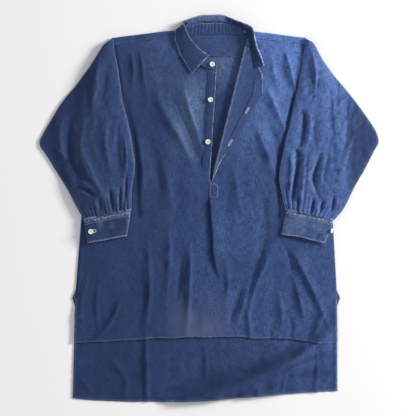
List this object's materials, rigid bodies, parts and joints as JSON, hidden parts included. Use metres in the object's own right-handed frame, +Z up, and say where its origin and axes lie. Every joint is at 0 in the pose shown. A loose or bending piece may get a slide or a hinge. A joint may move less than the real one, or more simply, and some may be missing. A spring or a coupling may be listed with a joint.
{
  "type": "artist smock",
  "caption": "Pull-over work smock of indigo cloth, laid flat: collar on a band, half placket with one edge turned open, gathered sleeves in buttoned cuffs, side vents and a longer back.",
  "frame": {"origin": "on the table, under the middle of the laid-out smock's box", "axes": "+X across the smock, +Y along it from the hem to the collar, +Z up from the table; the smock lies on its back, front up"},
  "size_m": [0.848, 0.9614, 0.0295],
  "materials": {
    "body_cloth": "plain-weave indigo linen and cotton, washed and faded along edges and folds",
    "facing_cloth": "the same cloth in facings and linings, with topstitched edges",
    "sewing_thread": "twisted ecru linen thread",
    "button": "polished off-white shell"
  },
  "bodies": {
    "body": {"back_panel": "body_cloth", "back_yoke": "body_cloth", "yoke_lining": "facing_cloth", "front_panel": "body_cloth", "button_band": "facing_cloth", "placket_stay": "facing_cloth", "neckband": "body_cloth", "neckband_facing": "facing_cloth", "collar_back": "body_cloth", "collar_fall_back": "facing_cloth", "underarm_gusset_left": "body_cloth", "underarm_gusset_right": "body_cloth", "vent_gusset_left": "body_cloth", "vent_gusset_right": "body_cloth", "upper_sleeve_left": "body_cloth", "upper_sleeve_right": "body_cloth", "button_thread_middle": "sewing_thread", "button_thread_lower": "sewing_thread", "button_thread_collar": "sewing_thread"},
    "lapel": {"lapel": "body_cloth", "buttonhole_band": "facing_cloth", "buttonhole_stitch_middle": "sewing_thread", "buttonhole_stitch_lower": "sewing_thread", "neckband_right": "body_cloth", "neckband_facing_right": "facing_cloth", "collar_leaf_right": "body_cloth"},
    "collar_leaf": {"collar_leaf_left": "body_cloth", "under_collar_left": "facing_cloth"},
    "sleeve_left": {"lower_sleeve_left": "body_cloth"},
    "sleeve_right": {"lower_sleeve_right": "body_cloth"},
    "cuff_left": {"cuff_left": "body_cloth", "cuff_facing_left": "facing_cloth", "button_thread_cuff_left": "sewing_thread", "buttonhole_stitch_cuff_left": "sewing_thread"},
    "cuff_right": {"cuff_right": "body_cloth", "cuff_facing_right": "facing_cloth", "button_thread_cuff_right": "sewing_thread"},
    "front_tail": {"front_tail": "body_cloth"},
    "back_tail": {"back_tail": "body_cloth"},
    "button_middle": {"button_middle": "button"},
    "button_lower": {"button_lower": "button"},
    "button_collar": {"button_collar": "button"},
    "button_cuff_left": {"button_cuff_left": "button"},
    "button_cuff_right": {"button_cuff_right": "button"}
  },
  "joints": [
    {"name": "sleeve_left_fold", "type": "hinge", "parent": "body", "child": "sleeve_left", "pos_m": [-0.305, 0.165, 0.0226], "axis": [-1, 0, 0], "range_deg": [0, 150]},
    {"name": "sleeve_right_fold", "type": "hinge", "parent": "body", "child": "sleeve_right", "pos_m": [0.305, 0.165, 0.0226], "axis": [-1, 0, 0], "range_deg": [0, 150]},
    {"name": "cuff_left_fold", "type": "hinge", "parent": "sleeve_left", "child": "cuff_left", "pos_m": [-0.2525, -0.01515, 0.0186], "axis": [-0.9796, -0.2009, 0], "range_deg": [0, 120]},
    {"name": "cuff_right_fold", "type": "hinge", "parent": "sleeve_right", "child": "cuff_right", "pos_m": [0.2525, -0.01515, 0.0186], "axis": [-0.9796, 0.2009, 0], "range_deg": [0, 120]},
    {"name": "lapel_fold", "type": "hinge", "parent": "body", "child": "lapel", "pos_m": [0.009, 0.078, 0.00835], "axis": [-0.2425, -0.9701, 0], "range_deg": [0, 110]},
    {"name": "collar_leaf_fold", "type": "hinge", "parent": "body", "child": "collar_leaf", "pos_m": [0.002, 0.382, 0.019], "axis": [-0.6307, 0.7687, 0.1064], "range_deg": [0, 110]},
    {"name": "front_tail_fold", "type": "hinge", "parent": "body", "child": "front_tail", "pos_m": [-0.007, -0.22215, 0.0083], "axis": [-1, 0, 0], "range_deg": [0, 150]},
    {"name": "back_tail_fold", "type": "hinge", "parent": "body", "child": "back_tail", "pos_m": [-0.008, -0.34515, 0.0013], "axis": [-1, 0, 0], "range_deg": [0, 100]},
    {"name": "button_middle_tilt", "type": "hinge", "parent": "body", "child": "button_middle", "pos_m": [0.00364, 0.27221, 0.0133], "axis": [1, 0, 0], "range_deg": [-12, 12]},
    {"name": "button_lower_tilt", "type": "hinge", "parent": "body", "child": "button_lower", "pos_m": [-0.00292, 0.16722, 0.0133], "axis": [1, 0, 0], "range_deg": [-12, 12]},
    {"name": "button_collar_tilt", "type": "hinge", "parent": "body", "child": "button_collar", "pos_m": [0.008, 0.36, 0.0168], "axis": [1, 0, 0], "range_deg": [-12, 12]},
    {"name": "button_cuff_left_tilt", "type": "hinge", "parent": "cuff_left", "child": "button_cuff_left", "pos_m": [-0.293, -0.056, 0.0223], "axis": [0.9844, 0.1761, 0], "range_deg": [-12, 12]},
    {"name": "button_cuff_right_tilt", "type": "hinge", "parent": "cuff_right", "child": "button_cuff_right", "pos_m": [0.30522, -0.05394, 0.01625], "axis": [0.3947, -0.0984, -0.9135], "range_deg": [-12, 12]}
  ]
}
